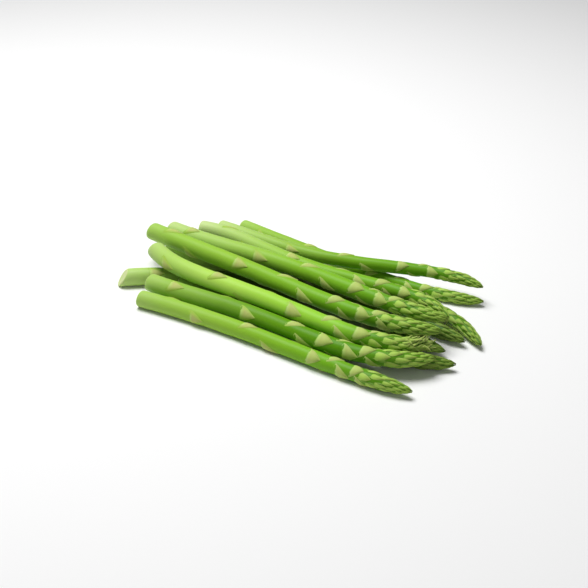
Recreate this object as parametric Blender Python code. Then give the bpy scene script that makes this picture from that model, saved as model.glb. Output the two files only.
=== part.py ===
"""A loose bundle of twelve asparagus spears lying on a table.

Six spears lie on the table and six lie on those, all pointing the same way, with nothing tied round
them. Each spear is one solid: a tapering stalk with a cut butt, flat triangular bracts down its
length and a pointed head of overlapping scales. Metres, +Z up, +X along the bundle to the tips.
"""
import math
import random

import bmesh
import bpy
import numpy as np
from mathutils import Vector

MM = 0.001

# Each spear as seen from above, in millimetres: butt x and y, tip x and y, how far the middle line
# strays to the left of the straight line at a quarter, half and three quarters of the way, the
# radius of the stalk at the butt, how much lower the tip end lies than the butt end, the direction
# of the first bract round the stalk and the slant of the cut in degrees. They are laid in this order.
SPEARS = [
    ("spear_far_low", (-90, 76), (107, 65), (-5, -9, -10), 4.9, 0.7, 70, 6),
    ("spear_curled_tip_low", (-104, 44), (127, 14), (2, 13, 20), 5.4, 0.8, 200, 8),
    ("spear_middle_far_low", (-113, 11), (117, 12), (6.5, 10.8, 8.9), 6.0, 0.8, 120, 5),
    ("spear_long_butt_low", (-116, -35), (111, -5), (23, 25, 14), 6.1, 0.8, 40, 33),
    ("spear_middle_near_low", (-76.6, -25.0), (122.6, -15.1), (5.4, -4.9, -10.3), 6.0, 0.9, 260, 7),
    ("spear_near_low", (-88.7, -50.7), (112.8, -54.9), (2.8, 1.6, -1.3), 5.8, 0.2, 300, 6),
    ("spear_near_high", (-90.9, -36.5), (112.8, -23.8), (-3.6, -9.5, -17.0), 6.2, -1.0, 20, 8),
    ("spear_far_high", (-92, 49), (105, 67), (-8, -8, 2), 4.9, 1.7, 150, 10),
    ("spear_pale_butt_high", (-99, 35), (103, 17), (2, 0, 7), 5.6, 2.8, 330, 4),
    ("spear_frayed_tip_high", (-104.8, -10.8), (108.0, -18.4), (-12.1, -13.1, -16.4), 6.3, 4.3, 90, 12),
    ("spear_top_far", (-113, 19), (106, 8), (0, 1, -3), 6.1, 0.6, 10, 6),
    ("spear_top_near", (-120.8, 6.4), (105.8, 0.3), (-3.9, -8.4, -12.1), 6.3, 7.6, 350, 9),
]
FRAYED = "spear_frayed_tip_high"

GAP = 0.3                 # between one spear and the next
FLAT_DEPTH = 0.35         # how much of a low spear's underside is pressed flat
SAMPLES = 81              # points along a spear when it is laid on the others
STALK_SIDES_RESOLUTION = 3
STALK_STATIONS = (0.05, 0.13, 0.23, 0.33, 0.43, 0.53, 0.63, 0.72, 0.80, 0.87, 0.92, 0.96, 0.985, 1.0)
CUT_CHAMFER = 0.5

# The stalk's radius along its length, as a share of the radius at the butt.
RADIUS_AT = (0.0, 0.35, 0.72, 0.80, 0.87, 0.92, 0.96, 0.985, 1.0)
RADIUS_SHARE = (1.0, 0.96, 0.88, 0.80, 0.80, 0.72, 0.54, 0.34, 0.10)

# The bracts: how far apart they start, how long they are, how wide (half, in degrees round the
# stalk) and how far they stand out, all along the length from butt to tip.
BRACT_AT = (0.0, 0.50, 0.66, 0.78, 0.88, 1.0)
BRACT_SPACING = (22.0, 18.0, 10.5, 5.0, 2.9, 2.0)
BRACT_LENGTH = (11.0, 12.5, 12.0, 9.5, 7.0, 4.0)
BRACT_HALF_WIDTH = (38.0, 42.0, 48.0, 56.0, 62.0, 75.0)
BRACT_RISE = (0.35, 0.40, 0.45, 0.60, 0.65, 0.50)
BRACT_TIP_RISE = (0.15, 0.15, 0.20, 0.45, 0.45, 0.20)
GOLDEN_ANGLE = 137.5
FIRST_BRACT = 15.0
LAST_BRACT = 0.985
ROOT_DEPTH = 1.3
HEAD_STARTS = 0.74
FRAY_STARTS = 0.85
FRAYED_LIFT = 2.6
FRAYED_TOWARD = 20.0      # the side that its head has opened to, in degrees from the top
MERGE = 0.000002
MOST_ATTEMPTS = 20


def fresh_scene():
    for thing in list(bpy.data.objects):
        bpy.data.objects.remove(thing, do_unlink=True)


def new_collection(name, parent=None):
    made = bpy.data.collections.new(name)
    (parent or bpy.context.scene.collection).children.link(made)
    return made


def middle_line(row, share):
    """The point on a spear's middle line seen from above, share of the way from butt to tip."""
    _, butt, tip, stray = row[:4]
    along = Vector(tip) - Vector(butt)
    left = Vector((-along.y, along.x)).normalized()
    knots = (0.0, 0.25, 0.5, 0.75, 1.0)
    values = (0.0, stray[0], stray[1], stray[2], 0.0)
    aside = 0.0
    for i, value in enumerate(values):
        weight = value
        for j, knot in enumerate(knots):
            if j != i:
                weight *= (share - knot) / (knots[i] - knot)
        aside += weight
    return Vector(butt) + along * share + left * aside


def stalk_radius(row, share):
    return row[4] * float(np.interp(share, RADIUS_AT, RADIUS_SHARE))


def outer_radius(row, share):
    """The radius that clears the bracts as well as the stalk."""
    return stalk_radius(row, share) + float(np.interp(share, BRACT_AT, BRACT_RISE))


def lie_down(rows):
    """The height of every butt: each spear in turn as low as it goes on the table and the others."""
    shares = np.linspace(0.0, 1.0, SAMPLES)
    laid = []
    heights = {}
    for row in rows:
        plan = np.array([middle_line(row, s) for s in shares])
        outer = np.array([outer_radius(row, s) for s in shares])
        bare = np.array([stalk_radius(row, s) for s in shares])
        needed = bare - FLAT_DEPTH
        for other_plan, other_outer, other_height in laid:
            start = other_plan[:-1]
            step = other_plan[1:] - start
            place = ((plan[:, None] - start) * step).sum(2) / (step ** 2).sum(1)
            place = np.clip(place, 0.0, 1.0)
            away = np.linalg.norm(plan[:, None] - start - step * place[..., None], axis=2)
            reach = outer[:, None] + GAP + other_outer[:-1] + np.diff(other_outer) * place
            under = other_height[:-1] + np.diff(other_height) * place
            over = under + np.sqrt(np.maximum(reach ** 2 - away ** 2, 0.0))
            needed = np.maximum(needed, np.where(away < reach, over, 0.0).max(1))
        fall = row[5] * shares
        height = float((needed + fall).max())
        heights[row[0]] = height
        laid.append((plan, outer, height - fall))
    return heights


def point_on(row, butt_height, share):
    flat = middle_line(row, share)
    return Vector((flat.x, flat.y, butt_height - row[5] * share)) * MM


def frame_at(row, butt_height, share):
    """The point on the middle line with its direction to the tip, up and sideways directions."""
    step = 0.004
    here = point_on(row, butt_height, share)
    ahead = point_on(row, butt_height, share + step) - point_on(row, butt_height, share - step)
    ahead.normalize()
    up = (Vector((0, 0, 1)) - ahead * ahead.z).normalized()
    return here, ahead, up, ahead.cross(up)


def make_stalk(row, butt_height, length, collection):
    """A round curve with a radius at every point, made into a mesh, with its butt cut at a slant."""
    stations = [0.0, CUT_CHAMFER / length] + list(STALK_STATIONS)
    curve = bpy.data.curves.new(row[0] + "_stalk", "CURVE")
    curve.dimensions = "3D"
    curve.twist_mode = "Z_UP"
    curve.bevel_depth = MM
    curve.bevel_resolution = STALK_SIDES_RESOLUTION
    curve.use_fill_caps = True
    line = curve.splines.new("POLY")
    line.points.add(len(stations) - 1)
    for point, share in zip(line.points, stations):
        point.co = (*point_on(row, butt_height, share), 1.0)
        point.radius = stalk_radius(row, share)
    line.points[0].radius -= CUT_CHAMFER
    drawn = bpy.data.objects.new(row[0] + "_curve", curve)
    collection.objects.link(drawn)
    bpy.context.view_layer.update()
    mesh = bpy.data.meshes.new_from_object(drawn.evaluated_get(bpy.context.evaluated_depsgraph_get()))
    bpy.data.objects.remove(drawn, do_unlink=True)

    work = bmesh.new()
    work.from_mesh(mesh)
    bmesh.ops.remove_doubles(work, verts=work.verts, dist=0.00001)
    butt, ahead, up, _ = frame_at(row, butt_height, 0.0)
    slant = math.tan(math.radians(row[7]))
    for vert in work.verts:
        offset = vert.co - butt
        if offset.dot(ahead) < 2 * CUT_CHAMFER * MM:
            vert.co += ahead * offset.dot(up) * slant
    bmesh.ops.recalc_face_normals(work, faces=work.faces)
    work.to_mesh(mesh)
    work.free()
    stalk = bpy.data.objects.new(row[0], mesh)
    collection.objects.link(stalk)
    return stalk


def make_bract(row, butt_height, length, share, angle, number, collection):
    """One scale: a flattened ball of few sides bent round the stalk, its root sunk in the stalk."""
    span = float(np.interp(share, BRACT_AT, BRACT_LENGTH)) / length
    half_width = math.radians(float(np.interp(share, BRACT_AT, BRACT_HALF_WIDTH)))
    rise = float(np.interp(share, BRACT_AT, BRACT_RISE))
    tip_rise = float(np.interp(share, BRACT_AT, BRACT_TIP_RISE))
    if row[0] == FRAYED and share > FRAY_STARTS:
        tip_rise += FRAYED_LIFT * max(math.cos(math.radians(angle - FRAYED_TOWARD)), 0.0)
    in_head = share > HEAD_STARTS
    around, rows_of_points = (4, 2) if in_head else (6, 3)

    work = bmesh.new()
    bmesh.ops.create_uvsphere(work, u_segments=around, v_segments=rows_of_points, radius=1.0)
    for vert in work.verts:
        height = vert.co.z
        if height > 0.9:
            along, aside, out = 1.0, 0.0, tip_rise
        elif height < -0.9:
            along, aside, out = -0.12, 0.0, -ROOT_DEPTH
        else:
            turn = round(math.atan2(vert.co.y, vert.co.x) / (2 * math.pi) * around) % around
            across = (turn - around / 2) / (around / 2 - 1)
            narrow = 0.58 if height > 0.1 else 1.0
            along = 0.64 if height > 0.1 else 0.30
            if turn == 0:
                aside, out = 0.0, -ROOT_DEPTH
            else:
                aside = across * narrow
                out = rise * (1.0 - 0.45 * across ** 2)
        here = min(share + along * span, 1.0)
        beyond = share + along * span - here
        centre, ahead, up, left = frame_at(row, butt_height, here)
        direction = math.radians(angle) + aside * half_width
        radius = max(stalk_radius(row, here) + out, 0.05)
        outward = up * math.cos(direction) + left * math.sin(direction)
        vert.co = centre + outward * radius * MM + ahead * beyond * length * MM
    bmesh.ops.recalc_face_normals(work, faces=work.faces)
    mesh = bpy.data.meshes.new(f"{row[0]}_bract_{number}")
    work.to_mesh(mesh)
    work.free()
    bract = bpy.data.objects.new(mesh.name, mesh)
    collection.objects.link(bract)


def make_bracts(row, butt_height, length, attempt, collection):
    """All the bracts of one spear, each a golden angle on from the last and closer to the tip."""
    draw = random.Random(f"{row[0]} {attempt}")
    place = FIRST_BRACT + draw.uniform(0.0, 6.0)
    angle = row[6]
    number = 0
    while place < LAST_BRACT * length:
        share = place / length
        make_bract(row, butt_height, length, share, angle + draw.uniform(-8, 8), number, collection)
        place += float(np.interp(share, BRACT_AT, BRACT_SPACING)) * draw.uniform(0.88, 1.12)
        angle += GOLDEN_ANGLE
        number += 1


def fuse(stalk, others):
    union = stalk.modifiers.new("bracts", "BOOLEAN")
    union.operation = "UNION"
    union.operand_type = "COLLECTION"
    union.collection = others
    union.solver = "EXACT"
    apply_all(stalk)
    for thing in list(others.objects):
        bpy.data.objects.remove(thing, do_unlink=True)
    bpy.data.collections.remove(others)


def apply_all(thing):
    bpy.context.view_layer.update()
    seen = thing.evaluated_get(bpy.context.evaluated_depsgraph_get())
    mesh = bpy.data.meshes.new_from_object(seen)
    thing.modifiers.clear()
    thing.data = mesh


def press_flat(thing):
    """Cut off what would be under the table, so that a low spear rests on flat spots."""
    work = bmesh.new()
    work.from_mesh(thing.data)
    everything = work.verts[:] + work.edges[:] + work.faces[:]
    cut = bmesh.ops.bisect_plane(work, geom=everything, dist=0.000001, plane_co=(0, 0, 0),
                                 plane_no=(0, 0, 1), clear_inner=True)
    rim = [e for e in cut["geom_cut"] if isinstance(e, bmesh.types.BMEdge)]
    bmesh.ops.edgeloop_fill(work, edges=rim)
    work.to_mesh(thing.data)
    work.free()


def tidy(thing):
    work = bmesh.new()
    work.from_mesh(thing.data)
    bmesh.ops.remove_doubles(work, verts=work.verts, dist=MERGE)
    loose = [e for e in work.edges if not e.link_faces]
    bmesh.ops.delete(work, geom=loose, context="EDGES")
    bmesh.ops.triangulate(work, faces=work.faces)
    bmesh.ops.recalc_face_normals(work, faces=work.faces)
    work.to_mesh(thing.data)
    work.free()


def is_sound(thing):
    """Whether the mesh is one closed surface that touches itself nowhere."""
    work = bmesh.new()
    work.from_mesh(thing.data)
    closed = all(len(e.link_faces) == 2 for e in work.edges)
    reached = {work.faces[:][0]}
    to_search = list(reached)
    while to_search:
        face = to_search.pop()
        for neighbour in (f for e in face.edges for f in e.link_faces):
            if neighbour not in reached:
                reached.add(neighbour)
                to_search.append(neighbour)
    whole = len(reached) == len(work.faces)
    work.free()
    return closed and whole


def make_spear(row, butt_height, attempt):
    """One spear in one piece: stalk and bracts joined, pressed flat where it meets the table."""
    places = [point_on(row, butt_height, s) for s in np.linspace(0.0, 1.0, SAMPLES)]
    length = sum((b - a).length for a, b in zip(places, places[1:])) / MM
    spear = make_stalk(row, butt_height, length, bundle)
    scales = new_collection(row[0] + "_scales")
    make_bracts(row, butt_height, length, attempt, scales)
    fuse(spear, scales)
    if min(v.co.z for v in spear.data.vertices) < 0:
        press_flat(spear)
    tidy(spear)
    return spear


def green_material():
    made = bpy.data.materials.new("asparagus_green")
    made.use_nodes = True
    shader = made.node_tree.nodes["Principled BSDF"]
    shader.inputs["Base Color"].default_value = (0.27, 0.48, 0.07, 1.0)
    shader.inputs["Roughness"].default_value = 0.45
    shader.inputs["Metallic"].default_value = 0.0
    return made


fresh_scene()
bundle = new_collection("asparagus_bundle")
green = green_material()
butt_heights = lie_down(SPEARS)

# The bracts of a spear are drawn again where two of them happen to meet edge to edge.
spears = []
for spear_row in SPEARS:
    for attempt_number in range(MOST_ATTEMPTS):
        made_spear = make_spear(spear_row, butt_heights[spear_row[0]], attempt_number)
        if is_sound(made_spear):
            break
        bpy.data.objects.remove(made_spear, do_unlink=True)
    made_spear.name = spear_row[0]
    spears.append(made_spear)

# The bundle is centred on the origin.
corners = [v.co for thing in spears for v in thing.data.vertices]
middle_x = (min(c.x for c in corners) + max(c.x for c in corners)) / 2
middle_y = (min(c.y for c in corners) + max(c.y for c in corners)) / 2
for thing in spears:
    for vert in thing.data.vertices:
        vert.co -= Vector((middle_x, middle_y, 0))
    thing.data.materials.clear()
    thing.data.materials.append(green)
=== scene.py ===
import math
import random

import bpy
from mathutils import Matrix, Vector


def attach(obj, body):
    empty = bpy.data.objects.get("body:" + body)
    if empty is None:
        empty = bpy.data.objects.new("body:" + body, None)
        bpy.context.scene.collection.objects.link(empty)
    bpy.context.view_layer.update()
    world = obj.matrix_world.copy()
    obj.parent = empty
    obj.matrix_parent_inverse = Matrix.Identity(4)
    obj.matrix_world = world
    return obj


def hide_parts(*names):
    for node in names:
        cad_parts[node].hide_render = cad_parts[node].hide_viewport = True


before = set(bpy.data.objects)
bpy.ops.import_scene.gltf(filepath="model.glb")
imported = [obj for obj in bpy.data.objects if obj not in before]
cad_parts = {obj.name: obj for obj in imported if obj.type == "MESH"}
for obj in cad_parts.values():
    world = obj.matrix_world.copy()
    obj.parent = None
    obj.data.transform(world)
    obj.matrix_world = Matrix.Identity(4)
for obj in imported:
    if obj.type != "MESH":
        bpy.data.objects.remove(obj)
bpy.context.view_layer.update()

# How the spears lie.
# Twelve cut spears of green asparagus lie loose on a table, six on the table and six on those, with
# nothing tied round them. Each has grown with its own gentle bend, which its middle line gives here.
MM = 0.001
# name: butt x y, tip x y, strays left at 1/4 1/2 3/4, butt radius, fall to the tip, butt height,
# direction of the first bract, slant of the cut, which drawing of the bracts, how pale the butt is
SPEARS = {
    "spear_far_low": ((-90, 76), (107, 65), (-5, -9, -10), 4.9, 0.7, 4.60, 70, 6, 0, 0.25),
    "spear_curled_tip_low": ((-104, 44), (127, 14), (2, 13, 20), 5.4, 0.8, 5.11, 200, 8, 1, 0.4),
    "spear_middle_far_low": ((-113, 11), (117, 12), (6.5, 10.8, 8.9), 6.0, 0.8, 5.69, 120, 5, 1, 0.4),
    "spear_long_butt_low": ((-116, -35), (111, -5), (23, 25, 14), 6.1, 0.8, 5.79, 40, 33, 0, 0.55),
    "spear_middle_near_low": ((-76.6, -25.0), (122.6, -15.1), (5.4, -4.9, -10.3), 6.0, 0.9, 5.73, 260, 7,
                              1, 0.3),
    "spear_near_low": ((-88.7, -50.7), (112.8, -54.9), (2.8, 1.6, -1.3), 5.8, 0.2, 5.45, 300, 6, 0, 0.3),
    "spear_near_high": ((-90.9, -36.5), (112.8, -23.8), (-3.6, -9.5, -17.0), 6.2, -1.0, 10.34, 20, 8, 0, 0.3),
    "spear_far_high": ((-92, 49), (105, 67), (-8, -8, 2), 4.9, 1.7, 15.22, 150, 10, 2, 0.8),
    "spear_pale_butt_high": ((-99, 35), (103, 17), (2, 0, 7), 5.6, 2.8, 18.04, 330, 4, 1, 1.0),
    "spear_frayed_tip_high": ((-104.8, -10.8), (108.0, -18.4), (-12.1, -13.1, -16.4), 6.3, 4.3, 19.81, 90,
                              12, 1, 0.55),
    "spear_top_far": ((-113, 19), (106, 8), (0, 1, -3), 6.1, 0.6, 20.49, 10, 6, 2, 0.8),
    "spear_top_near": ((-120.8, 6.4), (105.8, 0.3), (-3.9, -8.4, -12.1), 6.3, 7.6, 22.70, 350, 9, 1, 0.2),
}
BUNDLE_MIDDLE = (2.63, 9.85)          # of the bundle's box in the numbers above


def middle_point(spear, share):
    """The point of a spear's middle line, share of the way from butt to tip, in metres."""
    butt, tip, strays, _, fall, height = SPEARS[spear][:6]
    along = Vector(tip) - Vector(butt)
    left = Vector((-along.y, along.x)).normalized()
    knots = (0.0, 0.25, 0.5, 0.75, 1.0)
    aside = 0.0
    for i, value in enumerate((0.0, *strays, 0.0)):
        for j, knot in enumerate(knots):
            if j != i:
                value *= (share - knot) / (knots[i] - knot)
        aside += value
    flat = Vector(butt) + along * share + left * aside - Vector(BUNDLE_MIDDLE)
    return Vector((flat.x, flat.y, height - fall * share)) * MM


def between(x, xs, ys):
    """The value at x on the line through the given points."""
    if x <= xs[0]:
        return ys[0]
    for x0, x1, y0, y1 in zip(xs, xs[1:], ys, ys[1:]):
        if x <= x1:
            return y0 + (y1 - y0) * (x - x0) / (x1 - x0)
    return ys[-1]


LINE_POINTS = 80
lengths = {}                          # in metres, along each middle line
for spear in SPEARS:
    line = [middle_point(spear, i / LINE_POINTS) for i in range(LINE_POINTS + 1)]
    lengths[spear] = sum((b - a).length for a, b in zip(line, line[1:]))


def set_down_nothing():
    """Nothing is selected and nothing is being edited."""
    if bpy.context.object and bpy.context.object.mode != "OBJECT":
        bpy.ops.object.mode_set(mode="OBJECT")
    bpy.ops.object.select_all(action="DESELECT")


def choose(*pieces):
    """These pieces alone are selected, the first of them active."""
    set_down_nothing()
    for piece in pieces:
        piece.select_set(True)
    bpy.context.view_layer.objects.active = pieces[0]


# The stalk.
# A solid juicy shoot, round and slowly tapering, that runs to a point inside the head. It is grown
# straight once here, a metre long and a metre in radius, and copied for every spear.
STALK_SIDES = 32
RADIUS_AT = (0.0, 0.35, 0.72, 0.80, 0.87, 0.92, 0.96, 0.985, 1.0)
RADIUS_SHARE = (1.0, 0.96, 0.88, 0.80, 0.80, 0.72, 0.54, 0.34, 0.10)
ROUNDED_END = {0.0: 0.87, 0.0025: 0.95, 0.007: 0.99}
STALK_END = 0.996
stations = [0.0025, 0.007]
stations += [0.014 + 0.011 * i for i in range(66)]
stations += [0.74 + 0.0125 * i for i in range(20)]
stations.append(STALK_END)


def stalk_share(share):
    """The stalk's radius there, as a share of its radius at the butt."""
    return between(share, RADIUS_AT, RADIUS_SHARE)


set_down_nothing()
bpy.ops.mesh.primitive_circle_add(vertices=STALK_SIDES, radius=ROUNDED_END[0.0], fill_type="NGON",
                                  rotation=(0, math.pi / 2, 0))
grown_stalk = bpy.context.object
bpy.ops.object.transform_apply(location=True, rotation=True, scale=True)
bpy.ops.object.mode_set(mode="EDIT")
bpy.ops.mesh.select_all(action="SELECT")
last_x, last_r = 0.0, ROUNDED_END[0.0]
for x in stations:
    r = stalk_share(x) * ROUNDED_END.get(x, 1.0)
    bpy.ops.mesh.extrude_region_move(TRANSFORM_OT_translate={"value": (x - last_x, 0, 0)})
    bpy.ops.transform.resize(value=(1, r / last_r, r / last_r), center_override=(x, 0, 0))
    last_x, last_r = x, r
bpy.ops.mesh.select_all(action="DESELECT")
bpy.ops.object.mode_set(mode="OBJECT")
for face in grown_stalk.data.polygons:
    face.select = face.center.x < 1e-6
bpy.ops.object.mode_set(mode="EDIT")
# the cut: a rim, then a flat of flesh that has dried a little hollow
for inward, deeper in ((0.07, 0.0), (0.20, 0.0004), (0.25, 0.0006), (0.2, 0.0003)):
    bpy.ops.mesh.inset(thickness=inward, depth=0)
    bpy.ops.transform.translate(value=(deeper, 0, 0))
bpy.ops.mesh.poke()
bpy.ops.mesh.select_all(action="SELECT")
bpy.ops.mesh.normals_make_consistent(inside=False)
bpy.ops.object.mode_set(mode="OBJECT")
for face in grown_stalk.data.polygons:
    face.material_index = 1 if abs(face.normal.x) > 0.9 and face.center.x < 0.002 else 0


def new_finish(name, roughness, subsurface=0.0):
    """A material, its shader, a way to add nodes to it, and its links."""
    made = bpy.data.materials.new(name)
    made.use_nodes = True
    nodes, links = made.node_tree.nodes, made.node_tree.links
    shader = nodes["Principled BSDF"]
    shader.inputs["Roughness"].default_value = roughness
    shader.inputs["Specular IOR Level"].default_value = 0.13
    shader.inputs["Subsurface Weight"].default_value = subsurface
    shader.inputs["Subsurface Radius"].default_value = (0.6, 1.0, 0.2)
    shader.inputs["Subsurface Scale"].default_value = 0.002

    def add(kind, **settings):
        node = nodes.new(kind)
        for key, value in settings.items():
            setattr(node, key, value)
        return node

    return made, shader, add, links


def ramp(add, links, factor, stops):
    """A colour that runs through the given (place, colour) stops."""
    node = add("ShaderNodeValToRGB")
    links.new(factor, node.inputs["Fac"])
    bar = node.color_ramp
    while len(bar.elements) < len(stops):
        bar.elements.new(0.5)
    for element, (place, colour) in zip(bar.elements, stops):
        element.position = place
        element.color = (*colour, 1.0)
    return node.outputs["Color"]


def grey(value):
    return (value, value, value)


def mix(add, links, factor, first, second, blend="MIX"):
    """Two colours laid together; each of the three may be a value or another node's socket."""
    node = add("ShaderNodeMix", data_type="RGBA", blend_type=blend)
    for socket, value in ((0, factor), (6, first), (7, second)):
        if isinstance(value, bpy.types.NodeSocket):
            links.new(value, node.inputs[socket])
        elif socket == 0:
            node.inputs[0].default_value = value
        else:
            node.inputs[socket].default_value = (*value, 1.0)
    return node.outputs[2]


def grain(add, links, place, stretch, scale, detail=2.0):
    """Noise on the straight stalk's own coordinates, drawn out along it."""
    squeeze = add("ShaderNodeMapping")
    squeeze.inputs["Scale"].default_value = (stretch, 1.0, 1.0)
    links.new(place, squeeze.inputs["Vector"])
    noise = add("ShaderNodeTexNoise")
    noise.inputs["Scale"].default_value = scale
    noise.inputs["Detail"].default_value = detail
    links.new(squeeze.outputs["Vector"], noise.inputs["Vector"])
    return noise.outputs["Fac"]


def roughen(add, links, shader, height, strength, depth):
    """A fine relief, depth metres deep, that catches the light."""
    relief = add("ShaderNodeBump")
    relief.inputs["Strength"].default_value = strength
    relief.inputs["Distance"].default_value = depth
    links.new(height, relief.inputs["Height"])
    links.new(relief.outputs["Normal"], shader.inputs["Normal"])


def shaded(add, links, colour):
    """The colour taken down by the painted shade that the spear was given in its depth attribute."""
    depth = add("ShaderNodeAttribute", attribute_name="depth").outputs["Fac"]
    return mix(add, links, 1.0, colour, depth, "MULTIPLY")


LEAF_GREEN = (0.165, 0.40, 0.010)
YELLOW_GREEN = (0.39, 0.66, 0.048)
PALE_BUTT = (0.60, 0.72, 0.33)
DARK_MARK = (0.20, 0.30, 0.04)
PALE_MARK = (0.56, 0.74, 0.22)


def skin(name, paleness, tone_and_shade):
    """The stalk's waxy skin: streaks of two greens, pale at the butt, deeper towards the head, and taken down
    by the spear's tone, which on the near spear is painted shade.
    """
    made, shader, add, links = new_finish(name, 0.40, 0.10)
    grown = add("ShaderNodeAttribute", attribute_name="grown").outputs["Vector"]
    share = add("ShaderNodeAttribute", attribute_name="share").outputs["Fac"]
    streaks = grain(add, links, grown, 0.05, 900.0, 3.0)
    patches = grain(add, links, grown, 0.30, 75.0, 2.0)
    green = ramp(add, links, streaks, ((0.38, LEAF_GREEN), (0.62, YELLOW_GREEN)))
    patched = ramp(add, links, patches, ((0.40, (0.175, 0.42, 0.010)), (0.62, (0.42, 0.67, 0.070))))
    green = mix(add, links, 0.55, green, patched)
    # past the butt the green is multiplied by the spear's tone; on spear_near_high that is painted shade
    deeper_there = (0.66 * tone_and_shade[0], 0.86 * tone_and_shade[1], 0.50 * tone_and_shade[2])
    deep = ramp(add, links, share, ((0.0, (1, 1, 1)), (0.30, tone_and_shade), (0.72, deeper_there),
                                    (0.84, (0.42, 0.62, 0.30)), (1.0, (0.30, 0.42, 0.25))))
    green = mix(add, links, 1.0, green, deep, "MULTIPLY")
    butt = ramp(add, links, share, ((0.0, grey(0.75 * paleness + 0.12)), (0.10, grey(0.50 * paleness)),
                                    (0.30, grey(0.20 * paleness)), (0.5, (0, 0, 0))))
    green = mix(add, links, butt, green, PALE_BUTT)
    marks = grain(add, links, grown, 0.4, 330.0, 4.0)
    marked = ramp(add, links, marks, ((0.66, (0, 0, 0)), (0.74, grey(0.60))))
    green = mix(add, links, marked, green, DARK_MARK)
    pale_marks = grain(add, links, grown, 0.22, 260.0, 3.0)
    marked = ramp(add, links, pale_marks, ((0.56, (0, 0, 0)), (0.70, grey(0.45))))
    green = mix(add, links, marked, green, PALE_MARK)
    links.new(shaded(add, links, green), shader.inputs["Base Color"])
    roughen(add, links, shader, streaks, 0.5, 0.0003)
    return made


def cut_flesh():
    """The cut butt: pale wet flesh with the ends of its fibres as darker dots, stained in places."""
    made, shader, add, links = new_finish("cut_flesh", 0.5, 0.2)
    grown = add("ShaderNodeAttribute", attribute_name="grown").outputs["Vector"]
    cells = add("ShaderNodeTexVoronoi", feature="F1")
    cells.inputs["Scale"].default_value = 900.0
    links.new(grown, cells.inputs["Vector"])
    flesh = ramp(add, links, cells.outputs["Distance"],
                 ((0.10, (0.40, 0.52, 0.15)), (0.35, (0.60, 0.70, 0.30))))
    stain = grain(add, links, grown, 1.0, 260.0, 3.0)
    stained = ramp(add, links, stain, ((0.45, (0, 0, 0)), (0.8, grey(0.5))))
    flesh = mix(add, links, stained, flesh, (0.34, 0.34, 0.12))
    links.new(flesh, shader.inputs["Base Color"])
    roughen(add, links, shader, cells.outputs["Distance"], 0.5, 0.0002)
    return made


flesh_finish = cut_flesh()
# the near one is taken down to a deeper green than the others as painted shade from the one over it, the one
# over it paler, the two farthest duller
TONE_AND_SHADE = {"spear_near_high": (0.54, 0.66, 0.30), "spear_frayed_tip_high": (1.50, 1.35, 2.20),
        "spear_far_high": (0.85, 0.88, 0.70), "spear_far_low": (0.85, 0.88, 0.70)}
skins = {}
for spear, row in SPEARS.items():
    skins[spear] = skin(f"skin_of_{spear}", row[9], TONE_AND_SHADE.get(spear, (1, 1, 1)))

# The bract.
# A thin papery leaf, a flat triangle grown tight to the stalk above each joint, pale with a tinge
# of pink, hiding a bud. It is shaped flat once: x along it, y round the stalk, z off its surface.
BRACT_AT = (0.0, 0.50, 0.66, 0.78, 0.88, 1.0)         # share of the way from butt to tip
BRACT_SPACING = (22.0, 18.0, 10.5, 5.0, 2.9, 2.0)     # mm
BRACT_LENGTH = (11.0, 12.5, 11.5, 10.0, 8.0, 4.0)     # mm
BRACT_HALF_WIDTH = (38.0, 42.0, 50.0, 58.0, 60.0, 75.0)   # degrees round the stalk
GOLDEN_ANGLE = 137.5
FIRST_BRACT = 15.0
LAST_ROOT = 0.985
TURN_STRAY = 8.0
EDGE_SUNK = 0.6
HEAD_STARTS = 0.82
CROWDED_FROM = {"spear_near_high": 0.60, "spear_frayed_tip_high": 0.74, "spear_far_high": 0.74}
CROWDED_SPACING = (8.0, 3.8)


def flat_leaf(name, across, widths, heights, edge_share, swept):
    """A leaf shaped from a grid: each cross row is given its width and its height off the stalk.
    Its root corners are swept back, and its edge is turned down into the stalk."""
    set_down_nothing()
    rows = len(widths)
    bpy.ops.mesh.primitive_grid_add(x_subdivisions=rows - 1, y_subdivisions=across, size=1.0,
                                    location=(0.5, 0, 0))
    leaf = bpy.context.object
    leaf.name = name
    bpy.ops.object.transform_apply(location=True, rotation=True, scale=True)
    for i, (width, height) in enumerate(zip(widths, heights)):
        x = i / (rows - 1)
        for vert in leaf.data.vertices:
            vert.select = abs(vert.co.x - x) < 1e-4
        bpy.ops.object.mode_set(mode="EDIT")
        bpy.ops.transform.resize(value=(1, 2 * width, 1), center_override=(x, 0, 0))
        bpy.ops.transform.translate(value=(0, 0, height))
        bpy.ops.mesh.select_all(action="DESELECT")
        bpy.ops.object.mode_set(mode="OBJECT")
    for vert in leaf.data.vertices:
        row = round(vert.co.x * (rows - 1))
        outward = (vert.co.y / widths[row]) ** 2
        vert.co.z -= heights[row] * (1.0 - edge_share) * outward
        vert.co.x -= swept * (1.0 - vert.co.x) * outward
    bpy.ops.object.mode_set(mode="EDIT")
    bpy.ops.mesh.select_mode(type="EDGE")
    bpy.ops.mesh.select_all(action="DESELECT")
    bpy.ops.mesh.select_non_manifold()
    bpy.ops.mesh.extrude_edges_move(TRANSFORM_OT_translate={"value": (0, 0, -EDGE_SUNK)})
    bpy.ops.mesh.select_mode(type="VERT")
    bpy.ops.mesh.select_all(action="DESELECT")
    bpy.ops.object.mode_set(mode="OBJECT")
    return leaf


# widths in shares of the half width, heights in millimetres
paper_bract = flat_leaf("paper_bract", 6, (0.96, 1.0, 0.90, 0.76, 0.60, 0.42, 0.23, 0.02),
                        (0.10, 0.40, 0.52, 0.55, 0.54, 0.50, 0.44, 0.38), 0.45, 0.14)


UPPER_EDGE = (0.48, 0.62, 0.17)


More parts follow.
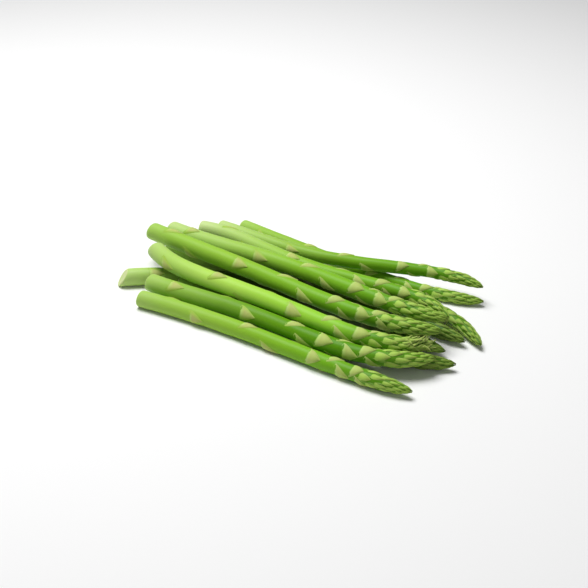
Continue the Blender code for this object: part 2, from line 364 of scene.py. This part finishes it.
def bract_finish(name, root, pale, body, flush, tip, edge, vein, softness, in_head):
    """Along the leaf from root to tip one colour runs into the next, with a flush on its middle,
    an edge of its own colour turned down into the stalk and darkened there to the root colour as painted
    shade, and fine veins."""
    made, shader, add, links = new_finish(name, 0.55, 0.08)
    leaf_uv = add("ShaderNodeUVMap", uv_map="UVMap").outputs["UV"]
    split = add("ShaderNodeSeparateXYZ")
    links.new(leaf_uv, split.inputs["Vector"])
    grown = add("ShaderNodeAttribute", attribute_name="grown").outputs["Vector"]
    mottle = grain(add, links, grown, 0.6, 380.0, 3.0)
    wobble = add("ShaderNodeMath", operation="MULTIPLY_ADD")
    links.new(mottle, wobble.inputs[0])
    wobble.inputs[1].default_value = 0.30
    links.new(split.outputs["X"], wobble.inputs[2])
    colour = ramp(add, links, wobble.outputs["Value"],
                  ((0.13, root), (0.22, pale), (0.42, body), (0.60, body), (0.95, tip)))
    blush = grain(add, links, grown, 0.7, 130.0, 3.0)
    flushed = ramp(add, links, blush, ((0.38, (0, 0, 0)), (0.57, grey(0.9))))
    inner = ramp(add, links, wobble.outputs["Value"],
                 ((0.22, (0, 0, 0)), (0.48, (1, 1, 1)), (0.9, grey(0.5))))
    share = add("ShaderNodeAttribute", attribute_name="share").outputs["Fac"]
    lower = ramp(add, links, share, ((0.30, (1, 1, 1)), (0.80, grey(0.35))))
    flushed = mix(add, links, 1.0, flushed, inner, "MULTIPLY")
    flushed = mix(add, links, 1.0, flushed, lower, "MULTIPLY")
    colour = mix(add, links, flushed, colour, flush)
    side = add("ShaderNodeMath", operation="SUBTRACT")
    links.new(split.outputs["Y"], side.inputs[0])
    side.inputs[1].default_value = 0.5
    out = add("ShaderNodeMath", operation="ABSOLUTE")
    links.new(side.outputs["Value"], out.inputs[0])
    softer = ramp(add, links, share, ((0.30, grey(softness)), (0.72, (0, 0, 0))))
    near_edge = add("ShaderNodeMath", operation="ADD")
    links.new(out.outputs["Value"], near_edge.inputs[0])
    links.new(softer, near_edge.inputs[1])
    rim = ramp(add, links, near_edge.outputs["Value"], ((0.30, (0, 0, 0)), (0.5, grey(0.9))))
    upper = ramp(add, links, share, ((0.52, (0, 0, 0)), (0.68, (1, 1, 1))))
    edge_colour = mix(add, links, upper, edge, UPPER_EDGE)
    colour = mix(add, links, rim, colour, edge_colour)
    # painted shade: the turned-down edge is darkened to the root colour, standing in for the shadow under the
    # leaf's edge
    crease_shade_from = 0.455 if in_head else 0.485
    crease_shade = ramp(add, links, out.outputs["Value"], ((crease_shade_from, (0, 0, 0)), (0.5, grey(0.9))))
    colour = mix(add, links, crease_shade, colour, root)
    veins = grain(add, links, grown, 0.12, 850.0 if in_head else 900.0, 3.0)
    veined = ramp(add, links, veins, ((0.42, (0, 0, 0)), (0.62, grey(0.80 if in_head else 0.60))))
    colour = mix(add, links, veined, colour, vein)
    if in_head:
        deeper = ramp(add, links, share, ((0.82, (1.2, 1.2, 1.1)), (0.90, (1.0, 1.0, 0.9)),
                                          (1.0, (0.75, 0.80, 0.6))))
        colour = mix(add, links, 1.0, colour, deeper, "MULTIPLY")
    links.new(shaded(add, links, colour), shader.inputs["Base Color"])
    roughen(add, links, shader, veins, 0.4, 0.0002)
    return made


# root: the bract's dark green at its root and sunk edge, partly the stalk's own green and partly painted
# shade
paper_finish = bract_finish("bract_paper", root=(0.22, 0.44, 0.03), pale=(0.54, 0.76, 0.22),
                            body=(0.47, 0.63, 0.15), flush=(0.57, 0.46, 0.22), tip=(0.33, 0.46, 0.09),
                            edge=(0.33, 0.56, 0.05), vein=(0.30, 0.46, 0.06), softness=0.20, in_head=False)

# The head's scales.
# Towards the tip the bracts crowd into a closed head: thick pointed scales lie over each other like
# tiles, with plump buds between the first of them. One of each is shaped and copied.
HEAD_AT = (HEAD_STARTS, 0.86, 0.90, 0.94, 1.0)
HEAD_SPACING = (2.0, 1.3, 0.9, 0.7, 0.5)
HEAD_LENGTH = (9.5, 9.5, 9.5, 8.5, 5.5)
HEAD_HALF_WIDTH = (42.0, 30.0, 21.0, 18.0, 30.0)
HEAD_TALL_AT = (HEAD_STARTS, 0.87, 0.94, 1.0)
HEAD_TALL = (0.6, 0.85, 0.9, 0.5)
BUDS_UNTIL = 0.89
OPEN_UNTIL = 0.92

head_scale = flat_leaf("head_scale", 4, (0.45, 0.90, 1.0, 0.88, 0.66, 0.36, 0.02),
                       (-0.3, 0.60, 1.05, 1.20, 1.15, 0.95, 0.70), 0.2, 0.10)
# root: near black at the scale's root and sunk edge, painted shade between the overlapping scales
scale_finish = bract_finish("head_scale", root=(0.06, 0.16, 0.01), pale=(0.42, 0.72, 0.11),
                            body=(0.48, 0.74, 0.13), flush=(0.52, 0.56, 0.17), tip=(0.37, 0.48, 0.10),
                            edge=(0.50, 0.68, 0.18), vein=(0.14, 0.29, 0.03), softness=0.0, in_head=True)

set_down_nothing()
bpy.ops.mesh.primitive_uv_sphere_add(segments=8, ring_count=6, radius=0.5, location=(0.5, 0, 0),
                                     rotation=(0, math.pi / 2, 0))
plump_bud = bpy.context.object
plump_bud.name = "plump_bud"
bpy.ops.object.transform_apply(location=True, rotation=True, scale=True)
for vert in plump_bud.data.vertices:
    pinch = 1.0 - 0.75 * max(vert.co.x - 0.45, 0.0)
    vert.co.y *= 2.0 * pinch
    vert.co.z *= 2.0 * pinch


def bud_finish():
    """A bud: two fresh greens in a fine grain."""
    made, shader, add, links = new_finish("bud_green", 0.5, 0.08)
    grown = add("ShaderNodeAttribute", attribute_name="grown").outputs["Vector"]
    fine = grain(add, links, grown, 0.4, 900.0, 3.0)
    colour = ramp(add, links, fine, ((0.3, (0.10, 0.26, 0.02)), (0.7, (0.26, 0.42, 0.07))))
    links.new(colour, shader.inputs["Base Color"])
    roughen(add, links, shader, fine, 0.5, 0.0003)
    return made


bud_green = bud_finish()

# The frayed head.
# The upper near spear's head has opened: its last scales are thin loose florets that stand apart
# like a brush. They are the head's scales again, drawn narrow and leaning out.
FRAYED = "spear_frayed_tip_high"
FRAYED_FROM, FRAYED_TO = 0.915, 0.982
FLORETS = 84
OPEN_SIDE = 20.0
FLORET_LEAN = 4.6
# root: dark green at the floret's root and sunk edge, painted shade
floret_finish = bract_finish("floret", root=(0.08, 0.17, 0.02), pale=(0.32, 0.54, 0.07),
                             body=(0.38, 0.60, 0.10), flush=(0.48, 0.52, 0.15), tip=(0.45, 0.51, 0.15),
                             edge=(0.48, 0.61, 0.17), vein=(0.18, 0.28, 0.04), softness=0.0, in_head=False)

# The spears put together.
# Each stalk is drawn out to its length and girth, swollen a little at every joint, dressed with its
# bracts and scales, and bent the way it grew.
JOINT_LENGTH, JOINT_SWELL = 4.0, 0.030
JOINT_AHEAD, JOINT_REACH = 2.5, 14.0
SWELLS_FROM = 8.0
SLANT_FADE = 0.020                    # metres along which the cut's slant dies out
PRESSED_TO = 0.05 * MM


def draw_out(spear):
    """The grown stalk at this spear's size, with its cut slanted."""
    row = SPEARS[spear]
    stalk = grown_stalk.copy()
    stalk.data = grown_stalk.data.copy()
    stalk.name = spear.replace("spear", "asparagus")
    bpy.context.scene.collection.objects.link(stalk)
    stalk.data.transform(Matrix.Diagonal((lengths[spear], row[3] * MM, row[3] * MM, 1.0)))
    slant = math.tan(math.radians(row[7]))
    for vert in stalk.data.vertices:
        vert.co.x += vert.co.z * slant * max(1.0 - vert.co.x / SLANT_FADE, 0.0)
    stalk.data.materials.append(skins[spear])
    stalk.data.materials.append(flesh_finish)
    return stalk


def bracts_of(spear):
    """Root in mm from the butt, share of the way and direction of every bract below the head. They
    stand close from about two thirds of the way on."""
    row = SPEARS[spear]
    draw = random.Random(f"{spear} {row[8]}")
    whole = lengths[spear] / MM
    root = FIRST_BRACT + draw.uniform(0.0, 6.0)
    angle = row[6]
    found = []
    while root < LAST_ROOT * whole:
        share = root / whole
        found.append((root, share, angle + draw.uniform(-TURN_STRAY, TURN_STRAY)))
        root += between(share, BRACT_AT, BRACT_SPACING) * draw.uniform(0.88, 1.12)
        angle += GOLDEN_ANGLE
    crowded_from = CROWDED_FROM.get(spear, 0.67)
    found = [place for place in found if place[1] <= crowded_from]
    root, share, angle = found[-1]
    ends = (crowded_from, HEAD_STARTS)
    while share <= HEAD_STARTS:
        root += between(share, ends, CROWDED_SPACING) * draw.uniform(0.85, 1.15)
        share = root / whole
        angle += GOLDEN_ANGLE + draw.uniform(-TURN_STRAY, TURN_STRAY)
        found.append((root, share, angle))
    return found


def swollen(places, x, direction):
    """How much thicker the stalk is there: a little at each joint, most on its bract's side, and
    never quite even."""
    more = 0.006 * math.sin(0.21 * x + 2.0 * direction) + 0.005 * math.sin(0.083 * x - direction)
    for root, _, angle in places:
        off = x - root - JOINT_AHEAD
        if abs(off) < JOINT_REACH:
            near = math.exp(-(off / (JOINT_LENGTH if off > 0 else 0.6 * JOINT_LENGTH)) ** 2)
            more += near * JOINT_SWELL * (0.4 + 0.6 * math.cos(direction - math.radians(angle)))
    return 1.0 + more


def swell(stalk, places):
    """The stalk is thickened at its joints, but not at the cut nor on its middle line."""
    for vert in stalk.data.vertices:
        x, y, z = vert.co / MM
        if x > SWELLS_FROM and math.hypot(y, z) > 0.5:
            wider = swollen(places, x, math.atan2(-y, z))
            vert.co.y *= wider
            vert.co.z *= wider


def wrap(pattern, finish, spear, places, root, angle, length, half_width, height=1.0, lean=0.0,
         drift=0.0):
    """A copy of a flat pattern laid round the straight stalk, root mm from the butt, at that angle."""
    piece = pattern.copy()
    piece.data = pattern.data.copy()
    bpy.context.scene.collection.objects.link(piece)
    whole = lengths[spear] / MM
    for vert in piece.data.vertices:
        u, v, w = vert.co
        x = root + u * length
        direction = math.radians(angle - v * half_width + drift * u * u)
        radius = SPEARS[spear][3] * stalk_share(min(x / whole, 1.0)) * swollen(places, x, direction)
        radius = max(radius + w * height + lean * max(u, 0.0) ** 2, 0.02)
        vert.co = Vector((x, -radius * math.sin(direction), radius * math.cos(direction))) * MM
    piece.data.materials.clear()
    piece.data.materials.append(finish)
    return piece


def head_of(spear, places, draw):
    """The scales and buds from the first of the head to the point."""
    whole = lengths[spear] / MM
    root = HEAD_STARTS * whole + 1.5
    angle = places[-1][2] + GOLDEN_ANGLE
    last = FRAYED_FROM if spear == FRAYED else LAST_ROOT
    parts = []
    while root < last * whole:
        share = root / whole
        long = between(share, HEAD_AT, HEAD_LENGTH) * draw.uniform(0.9, 1.1)
        wide = between(share, HEAD_AT, HEAD_HALF_WIDTH)
        turned = angle + draw.uniform(-9, 9)
        long = min(long, whole + 0.6 - root)
        tall = between(share, HEAD_TALL_AT, HEAD_TALL) * draw.uniform(0.8, 1.2)
        lean = draw.uniform(-0.25, 0.35 if share < OPEN_UNTIL else 0.0)
        parts.append(wrap(head_scale, scale_finish, spear, places, root, turned, long, wide, tall, lean,
                          draw.uniform(-6, 6)))
        if share < BUDS_UNTIL:
            beside = turned + wide * draw.choice((-0.8, 0.8))
            parts.append(wrap(plump_bud, bud_green, spear, places, root + 0.25 * long, beside,
                              long * 0.55, wide * 0.28, tall * 0.9))
        root += between(share, HEAD_AT, HEAD_SPACING) * draw.uniform(0.85, 1.15)
        angle += GOLDEN_ANGLE
    return parts


def frayed_head(spear, places, draw):
    """The loose florets, the ones on the upper near side standing out most."""
    whole = lengths[spear] / MM
    parts = []
    for i in range(FLORETS):
        along = i / (FLORETS - 1)
        root = (FRAYED_FROM + (FRAYED_TO - FRAYED_FROM) * along) * whole
        angle = i * GOLDEN_ANGLE + draw.uniform(-12, 12)
        upward = max(math.cos(math.radians(angle - OPEN_SIDE)), 0.0)
        long, wide = draw.uniform(4.0, 7.0), draw.uniform(12, 22)
        lean = (0.5 + FLORET_LEAN * min(2.5 * along, 1.0) * upward) * draw.uniform(0.5, 1.2)
        parts.append(wrap(head_scale, floret_finish, spear, places, root, angle, long, wide, 0.9, lean,
                          draw.uniform(-35, 35)))
    return parts


# painted shade: how far down the colour of the spears underneath is taken between butt and head, standing in
# for the shadow in the gaps under the spears over them
SHADE_BENEATH = {"spear_middle_far_low": 0.16, "spear_long_butt_low": 0.16, "spear_middle_near_low": 0.20,
           "spear_curled_tip_low": 0.70}
SHADE_BENEATH_AT = (0.06, 0.30, 0.78, 0.95)


def mark_growth(piece, spear):
    """Every point remembers where it was on the straight spear, for the pattern on it, and how much painted
    shade it takes.
    """
    grown = piece.data.attributes.new("grown", "FLOAT_VECTOR", "POINT")
    share = piece.data.attributes.new("share", "FLOAT", "POINT")
    # depth holds painted shade: the spears underneath are darkened between butt and head
    depth = piece.data.attributes.new("depth", "FLOAT", "POINT")
    beneath_shade = SHADE_BENEATH.get(spear, 1.0)
    painted_shade_levels = (1.0, beneath_shade, beneath_shade, 0.55 + 0.45 * beneath_shade)
    for i, vert in enumerate(piece.data.vertices):
        along = vert.co.x / lengths[spear]
        grown.data[i].vector = vert.co
        share.data[i].value = along
        depth.data[i].value = between(along, SHADE_BENEATH_AT, painted_shade_levels)


def bend(piece, spear):
    """The straight spear is bent along its middle line."""
    drawn = bpy.data.curves.new("middle_line", "CURVE")
    drawn.dimensions = "3D"
    drawn.twist_mode = "Z_UP"
    path = drawn.splines.new("POLY")
    path.points.add(LINE_POINTS)
    for i, point in enumerate(path.points):
        point.co = (*middle_point(spear, i / LINE_POINTS), 1.0)
    line_object = bpy.data.objects.new("middle_line", drawn)
    bpy.context.scene.collection.objects.link(line_object)
    choose(piece)
    bending = piece.modifiers.new("bend", "CURVE")
    bending.object = line_object
    bending.deform_axis = "POS_X"
    bpy.ops.object.modifier_apply(modifier="bend")
    bpy.data.objects.remove(line_object, do_unlink=True)


for spear in SPEARS:
    stalk = draw_out(spear)
    places = bracts_of(spear)
    swell(stalk, places)
    draw = random.Random(f"{spear} head")
    parts = []
    girth = SPEARS[spear][3] / 6.0
    for root, share, angle in places:
        long = between(share, BRACT_AT, BRACT_LENGTH) * draw.uniform(0.85, 1.05) * girth
        wide = between(share, BRACT_AT, BRACT_HALF_WIDTH)
        parts.append(wrap(paper_bract, paper_finish, spear, places, root - 1.0, angle, long, wide,
                          draw.uniform(0.8, 1.1)))
    parts += head_of(spear, places, draw)
    if spear == FRAYED:
        parts += frayed_head(spear, places, draw)
    choose(stalk, *parts)
    bpy.ops.object.join()
    mark_growth(stalk, spear)
    bend(stalk, spear)
    for vert in stalk.data.vertices:          # it has pressed a little flat where it lies
        vert.co.z = max(vert.co.z, PRESSED_TO)
    bpy.ops.object.shade_smooth_by_angle(angle=math.radians(50))
    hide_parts(spear)
    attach(stalk, "root")

for pattern in (grown_stalk, paper_bract, head_scale, plump_bud):
    bpy.data.objects.remove(pattern, do_unlink=True)

# The table, the light and the camera.
# A plain white table under one soft light above the butts and a weak one in front, seen from above
# and in front with the butts to the left and the heads nearer on the right.
set_down_nothing()
bpy.ops.mesh.primitive_plane_add(size=6.0, location=(0, 0, 0))
floor = bpy.context.object
floor.name = "floor"
floor_finish, floor_shader, _, _ = new_finish("floor_white", 0.9)
floor_shader.inputs["Base Color"].default_value = (0.9, 0.9, 0.9, 1.0)
floor_shader.inputs["Specular IOR Level"].default_value = 0.1
floor.data.materials.append(floor_finish)

world = bpy.data.worlds.new("studio")
bpy.context.scene.world = world
world.use_nodes = True
world.node_tree.nodes["Background"].inputs["Color"].default_value = (1.0, 1.0, 1.0, 1.0)
world.node_tree.nodes["Background"].inputs["Strength"].default_value = 0.13
bpy.context.scene.view_settings.view_transform = "Standard"

AZIMUTH, ELEVATION = math.radians(31.0), math.radians(30.0)
CAMERA_DISTANCE = 0.7546
AIMED_AT = Vector((0, 0, 10))         # in the spears' own numbers
back = Vector((math.sin(AZIMUTH) * math.cos(ELEVATION), -math.cos(AZIMUTH) * math.cos(ELEVATION),
               math.sin(ELEVATION)))


def soft_box(name, place, size, power):
    """A square soft light that faces the bundle."""
    lamp = bpy.data.lights.new(name, "AREA")
    lamp.size = size
    lamp.energy = power
    box = bpy.data.objects.new(name, lamp)
    box.location = place
    box.rotation_euler = (Vector((0, 0, 0)) - box.location).to_track_quat("-Z", "Y").to_euler()
    bpy.context.scene.collection.objects.link(box)


soft_box("overhead_box", Vector((-0.35, 0.08, 1.1)), 0.7, 15.8)
soft_box("front_box", Vector((0.9, -0.9, 0.8)), 0.9, 1.5)

camera_data = bpy.data.cameras.new("camera")
camera_data.lens = 70.0
camera_data.sensor_width = 36.0
camera_data.clip_start = 0.01
camera = bpy.data.objects.new("camera", camera_data)
target = (AIMED_AT - Vector((*BUNDLE_MIDDLE, 0))) * MM
camera.location = target + back * CAMERA_DISTANCE
camera.rotation_euler = back.to_track_quat("Z", "Y").to_euler()
bpy.context.scene.collection.objects.link(camera)
bpy.context.scene.camera = camera
